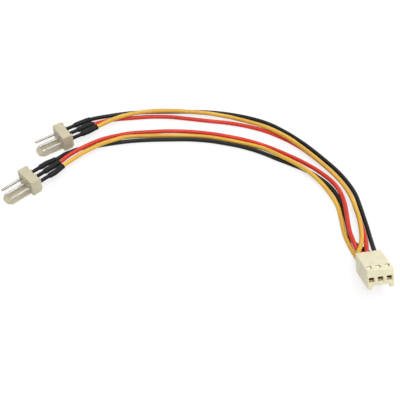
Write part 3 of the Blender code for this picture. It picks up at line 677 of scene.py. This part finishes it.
def close_loft(bm, rings):
    """Join each ring to the next and close both ends."""
    for ring, following in zip(rings, rings[1:]):
        join_rings(bm, ring, following)
    bm.faces.new(rings[0])
    bm.faces.new(rings[-1])


def round_edges(bm, width, segments=4):
    bmesh.ops.recalc_face_normals(bm, faces=bm.faces[:])
    bmesh.ops.bevel(bm, geom=bm.edges[:], offset=width, segments=segments, profile=0.5,
                    affect="EDGES", clamp_overlap=True)


def combine(name, base, steps):
    """Unite base with, or cut it by, each helper in turn, and return the finished mesh."""
    target = bpy.data.objects.new(name + "_work", to_mesh(name, base))
    bpy.context.scene.collection.objects.link(target)
    helpers = []
    for number, (operation, bm) in enumerate(steps):
        helper_name = "%s_helper_%d" % (name, number)
        helper = bpy.data.objects.new(helper_name, to_mesh(helper_name, bm))
        bpy.context.scene.collection.objects.link(helper)
        helpers.append(helper)
        modifier = target.modifiers.new("step_%d" % number, "BOOLEAN")
        modifier.operation = operation
        modifier.solver = "EXACT"
        modifier.object = helper
    depsgraph = bpy.context.evaluated_depsgraph_get()
    mesh = bpy.data.meshes.new_from_object(target.evaluated_get(depsgraph))
    mesh.name = name
    for item in [target, *helpers]:
        bpy.data.objects.remove(item, do_unlink=True)
    return mesh


def placed_copy(mesh, matrix, offset=0.0):
    copy = mesh.copy()
    copy.transform(matrix @ Matrix.Translation((0.0, offset, 0.0)))
    return copy


def housing_block():
    """A block with a lengthwise rib under each end and rounded edges."""
    half = ROW_WIDTH / 2
    inner = half - GUIDE_RIB_WIDTH
    floor = -HOUSING_THICKNESS
    foot = floor - GUIDE_RIB_HEIGHT
    right = [(half, 0.0), (half, foot), (inner, foot), (inner, floor)]
    outline = [(0.0, y, z) for y, z in right] + [(0.0, -y, z) for y, z in reversed(right)]
    bm = bmesh.new()
    add_extrusion(bm, outline, (HOUSING_LENGTH, 0.0, 0.0))
    round_edges(bm, HOUSING_EDGE)
    return bm


def housing_mesh():
    cavities, sockets, windows, leads = bmesh.new(), bmesh.new(), bmesh.new(), bmesh.new()
    for index in range(CIRCUITS):
        y = circuit_offset(index)
        add_cavity(cavities, y)
        add_socket(sockets, y)
        add_window(windows, y)
        add_lead(leads, y)
    cuts = [("DIFFERENCE", form) for form in (cavities, sockets, windows, leads)]
    return combine("socket_housing", housing_block(), cuts)


def add_cavity(bm, y):
    """Room for a terminal, wider at the rear where it goes in."""
    mouth = (CAVITY_WIDTH + CAVITY_FLARE, CAVITY_HEIGHT + CAVITY_FLARE)
    room = (CAVITY_WIDTH, CAVITY_HEIGHT)
    stations = [(-CUT_PAST, *mouth), (0.0, *mouth), (CAVITY_FLARE, *room), (CAVITY_FRONT, *room)]
    add_square_loft(bm, stations, y, CAVITY_MIDDLE)


def add_socket(bm, y):
    """Square hole for a pin in the front wall, with a tapered mouth."""
    hole = (SOCKET_SIZE, SOCKET_SIZE)
    mouth = (SOCKET_MOUTH, SOCKET_MOUTH)
    stations = [(CAVITY_FRONT - CUT_PAST, *hole), (HOUSING_LENGTH - SOCKET_LEAD, *hole),
                (HOUSING_LENGTH, *mouth), (HOUSING_LENGTH + CUT_PAST, *mouth)]
    add_square_loft(bm, stations, y, SOCKET_MIDDLE)


def add_window(bm, y):
    half = WINDOW_WIDTH / 2
    low = (WINDOW_FRONT - WINDOW_LENGTH, y - half, -ROOF - CUT_PAST)
    high = (WINDOW_FRONT, y + half, CUT_PAST)
    add_box(bm, low, high)


def add_lead(bm, y):
    """Shallow tapered mouth round a window in the top face."""
    x = WINDOW_FRONT - WINDOW_LENGTH / 2
    rings = []
    for z, grow in ((-WINDOW_LEAD, 0.0), (WINDOW_LEAD, 2 * WINDOW_LEAD)):
        half_x = WINDOW_LENGTH / 2 + grow
        half_y = WINDOW_WIDTH / 2 + grow
        rings.append([bm.verts.new((x + a * half_x, y + b * half_y, z)) for a, b in CORNERS])
    close_loft(bm, rings)


def tab_form():
    front = BASE_DEPTH / 2
    tip = front + TAB_REACH
    half = TAB_WIDTH / 2
    outline = [(front - TAB_ROOT, half), (tip - TAB_CHAMFER, half), (tip, half - TAB_CHAMFER)]
    outline += [(x, -y) for x, y in reversed(outline)]
    bm = bmesh.new()
    add_extrusion(bm, [(x, y, TAB_RAISE) for x, y in outline], (0.0, 0.0, TAB_THICKNESS))
    round_edges(bm, TAB_EDGE, 3)
    return bm


def latch_form():
    tip = BASE_DEPTH / 2 + TAB_REACH - LATCH_FROM_TIP
    half = LATCH_WIDTH / 2
    top = TAB_RAISE + TAB_THICKNESS
    rear = tip - LATCH_LENGTH
    outline = [(tip, -half, top - TAB_THICKNESS / 2), (tip, -half, top), (rear, -half, top + LATCH_HEIGHT),
               (rear, -half, top - TAB_THICKNESS / 2)]
    bm = bmesh.new()
    add_extrusion(bm, outline, (0.0, LATCH_WIDTH, 0.0))
    return bm


def standoff_form():
    bm = bmesh.new()
    back = -BASE_DEPTH / 2
    limit = ROW_WIDTH / 2 - STANDOFF_WIDTH / 2 - BASE_EDGE
    for index in range(CIRCUITS + 1):
        y = max(-limit, min(limit, (index - CIRCUITS / 2) * PITCH))
        add_box(bm, (back - STANDOFF_DEPTH, y - STANDOFF_WIDTH / 2, STANDOFF_LIFT),
                (back + STANDOFF_DEPTH, y + STANDOFF_WIDTH / 2, BASE_HEIGHT - STANDOFF_DROP))
    round_edges(bm, STANDOFF_EDGE, 3)
    return bm


def header_mesh():
    block, holes = bmesh.new(), bmesh.new()
    depth, width = BASE_DEPTH / 2, ROW_WIDTH / 2
    add_box(block, (-depth, -width, 0.0), (depth, width, BASE_HEIGHT))
    round_edges(block, BASE_EDGE)
    size = PIN_SIZE + 2 * PIN_CLEARANCE
    mouth = size + 4 * PIN_CLEARANCE
    stations = [(-depth - CUT_PAST, size, size), (depth - 2 * PIN_CLEARANCE, size, size),
                (depth, mouth, mouth), (depth + CUT_PAST, mouth, mouth)]
    for index in range(CIRCUITS):
        add_square_loft(holes, stations, circuit_offset(index), PIN_HEIGHT)
    steps = [("UNION", form) for form in (tab_form(), latch_form(), standoff_form())]
    return combine("header_base", block, steps + [("DIFFERENCE", holes)])


def pin_mesh():
    """Square pin with rounded corners, tapered at both ends."""
    rear = -BASE_DEPTH / 2 - PIN_TAIL
    front = BASE_DEPTH / 2 + PIN_REACH
    sizes = [(rear, PIN_TIP_SIZE), (rear + PIN_TIP_LENGTH, PIN_SIZE),
             (front - PIN_TIP_LENGTH, PIN_SIZE), (front, PIN_TIP_SIZE)]
    bm = bmesh.new()
    add_square_loft(bm, [(x, size, size) for x, size in sizes], 0.0, PIN_HEIGHT)
    round_edges(bm, PIN_EDGE, 3)
    return to_mesh("pin", bm)


def spring_mesh():
    """Strip folded back at the mouth of a contact box, which rises to press on the pin."""
    middle_x = SPRING_FRONT - SPRING_FOLD
    middle_z = SPRING_FLOOR + SPRING_FOLD
    turns = [math.radians(angle) for angle in SPRING_TURNS]
    centre = [(middle_x - SPRING_RUN, SPRING_FLOOR)]
    centre += [(middle_x + SPRING_FOLD * math.cos(t), middle_z + SPRING_FOLD * math.sin(t)) for t in turns]
    crest_z = middle_z + SPRING_FOLD + SPRING_RISE
    crest_front = middle_x - SPRING_RUN
    crest_rear = crest_front - SPRING_CREST
    centre += [(crest_front, crest_z), (crest_rear, crest_z)]
    centre += [(crest_rear - SPRING_RUN, crest_z - SPRING_RISE)]
    bm = bmesh.new()
    add_strip(bm, [Vector((x, 0.0, z)) for x, z in centre], SPRING_WIDTH, SPRING_THICKNESS)
    return to_mesh("spring", bm)


def add_strip(bm, centre, width, thickness):
    """Bend a flat strip along a line of points in the XZ plane."""
    rings = []
    for k, point in enumerate(centre):
        forward = (centre[min(k + 1, len(centre) - 1)] - centre[max(k - 1, 0)]).normalized()
        out = Vector((-forward.z, 0.0, forward.x)) * thickness / 2
        side = Vector((0.0, width / 2, 0.0))
        rings.append([bm.verts.new(point + a * side + b * out) for a, b in CORNERS])
    close_loft(bm, rings)


def make_connectors(looks):
    housing = placed_copy(housing_mesh(), housing_matrix())
    add_mesh("socket_housing", housing, looks["housing"], ["female_housing"])
    spring = spring_mesh()
    for index, colour in enumerate(HOUSING_COLOURS):
        copy = placed_copy(spring, housing_matrix(), circuit_offset(index))
        add_mesh("contact_spring_" + colour, copy, looks["spring"], [])
    base, pin = header_mesh(), pin_mesh()
    for branch in HEADER_PLACES:
        matrix = header_matrix(branch)
        name = "header_" + branch
        add_mesh(name + "_block", placed_copy(base, matrix), looks["header"], [name + "_base"])
        for index, colour in enumerate(HEADER_COLOURS):
            copy = placed_copy(pin, matrix, circuit_offset(index))
            node = "%s_pin_%s" % (name, colour)
            add_mesh("%s_post_%s" % (name, colour), copy, looks["pin"], [node])


def dress_inner_nodes(looks):
    """Pieces inside the housing and under the sleeves keep their CAD shape."""
    kinds = {"crimp_terminal_": "terminal", "solder_joint_": "solder", "tinned_end_": "copper",
             "crimped_end_": "copper"}
    for name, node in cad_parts.items():
        for prefix, kind in kinds.items():
            if name.startswith(prefix):
                node.data.materials.clear()
                node.data.materials.append(looks[kind])


# Stage and light

FLOOR_HALF = 1.2
FLOOR_DROP = 0.02 * MM
FLOOR_COLOUR = (0.8, 0.8, 0.8, 1.0)
WORLD_COLOUR = (1.0, 1.0, 1.0, 1.0)
WORLD_LIGHT = 0.40

# What the camera sees of the floor: a glow and, on top, a diffuse tone that carries the shadow
FLOOR_GLOW = 0.76
FLOOR_TONE = (0.26, 0.26, 0.26, 1.0)

# Distances from the floor's middle, in metres, between which the glow rises
GLOW_RISE_START = 0.12
GLOW_RISE_END = 0.8

# Azimuth and elevation in degrees, distance and size in metres, power in watts
LAMPS = {
    "key": (25.0, 70.0, 0.7, 0.45, 2.7),
    "side": (100.0, 35.0, 0.7, 0.6, 1.0),
    "top": (170.0, 65.0, 0.7, 0.5, 0.9),
}


def seen_directly(tree):
    """One for what the camera sees, straight, in a reflection or through something clear."""
    rays = tree.nodes.new("ShaderNodeLightPath")
    seen = rays.outputs["Is Camera Ray"]
    for kind in ("Is Glossy Ray", "Is Transmission Ray"):
        either = tree.nodes.new("ShaderNodeMath")
        either.operation = "MAXIMUM"
        tree.links.new(seen, either.inputs[0])
        tree.links.new(rays.outputs[kind], either.inputs[1])
        seen = either.outputs[0]
    return seen


def make_floor():
    bm = bmesh.new()
    bmesh.ops.create_grid(bm, x_segments=1, y_segments=1, size=FLOOR_HALF)
    floor = bpy.data.objects.new("floor", to_mesh("floor", bm))
    bpy.context.scene.collection.objects.link(floor)
    floor.location = (0.0, 0.0, -FLOOR_DROP)
    floor.data.materials.append(floor_material())


def floor_glow(tree):
    """Glow of the floor, which rises to full white where the lamps' light falls off."""
    place = tree.nodes.new("ShaderNodeTexCoord")
    away = tree.nodes.new("ShaderNodeVectorMath")
    away.operation = "LENGTH"
    tree.links.new(place.outputs["Object"], away.inputs[0])
    level = tree.nodes.new("ShaderNodeMapRange")
    level.inputs["From Min"].default_value = GLOW_RISE_START
    level.inputs["From Max"].default_value = GLOW_RISE_END
    level.inputs["To Min"].default_value = FLOOR_GLOW
    tree.links.new(away.outputs["Value"], level.inputs["Value"])
    return level.outputs["Result"]


def floor_material():
    """White to the camera and to reflections, with the object's soft shadow; plain pale to light."""
    material = bpy.data.materials.new("studio_floor")
    material.use_nodes = True
    tree = material.node_tree
    tree.nodes.clear()
    glow = tree.nodes.new("ShaderNodeEmission")
    tree.links.new(floor_glow(tree), glow.inputs["Strength"])
    shadowed = tree.nodes.new("ShaderNodeBsdfDiffuse")
    shadowed.inputs["Color"].default_value = FLOOR_TONE
    bright = tree.nodes.new("ShaderNodeAddShader")
    tree.links.new(glow.outputs[0], bright.inputs[0])
    tree.links.new(shadowed.outputs[0], bright.inputs[1])
    plain = tree.nodes.new("ShaderNodeBsdfDiffuse")
    plain.inputs["Color"].default_value = FLOOR_COLOUR
    mix = tree.nodes.new("ShaderNodeMixShader")
    tree.links.new(seen_directly(tree), mix.inputs[0])
    tree.links.new(plain.outputs[0], mix.inputs[1])
    tree.links.new(bright.outputs[0], mix.inputs[2])
    output = tree.nodes.new("ShaderNodeOutputMaterial")
    tree.links.new(mix.outputs[0], output.inputs["Surface"])
    return material


def make_world():
    """Even white light, seen by the camera and in reflections at full strength."""
    world = bpy.data.worlds.new("studio")
    bpy.context.scene.world = world
    world.use_nodes = True
    tree = world.node_tree
    background = tree.nodes["Background"]
    level = tree.nodes.new("ShaderNodeMapRange")
    level.inputs["To Min"].default_value = WORLD_LIGHT
    level.inputs["To Max"].default_value = 1.0
    tree.links.new(seen_directly(tree), level.inputs["Value"])
    tree.links.new(level.outputs["Result"], background.inputs["Strength"])
    background.inputs["Color"].default_value = WORLD_COLOUR


def make_lamp(name, azimuth, elevation, distance, size, power):
    """A square soft box; azimuth 0 is on the camera's side and 90 to its right."""
    data = bpy.data.lights.new(name, "AREA")
    data.size = size
    data.energy = power
    lamp = bpy.data.objects.new(name, data)
    bpy.context.scene.collection.objects.link(lamp)
    turn, lift = math.radians(azimuth), math.radians(elevation)
    towards = Vector((math.sin(turn) * math.cos(lift), -math.cos(turn) * math.cos(lift), math.sin(lift)))
    lamp.location = DATUM + towards * distance
    lamp.rotation_euler = towards.to_track_quat("Z", "Y").to_euler()


def make_stage():
    make_floor()
    make_world()
    for name, settings in LAMPS.items():
        make_lamp(name, *settings)


def main():
    bpy.context.scene.view_settings.view_transform = "Standard"
    make_camera()
    looks = make_materials()
    for branch in HEADER_PLACES:
        for colour in HEADER_COLOURS:
            path = wire_path(branch, colour)
            make_wire(branch, colour, path, looks["wire_" + colour])
            make_sleeve(branch, colour, path, looks["sleeve"])
    make_connectors(looks)
    dress_inner_nodes(looks)
    make_stage()


main()
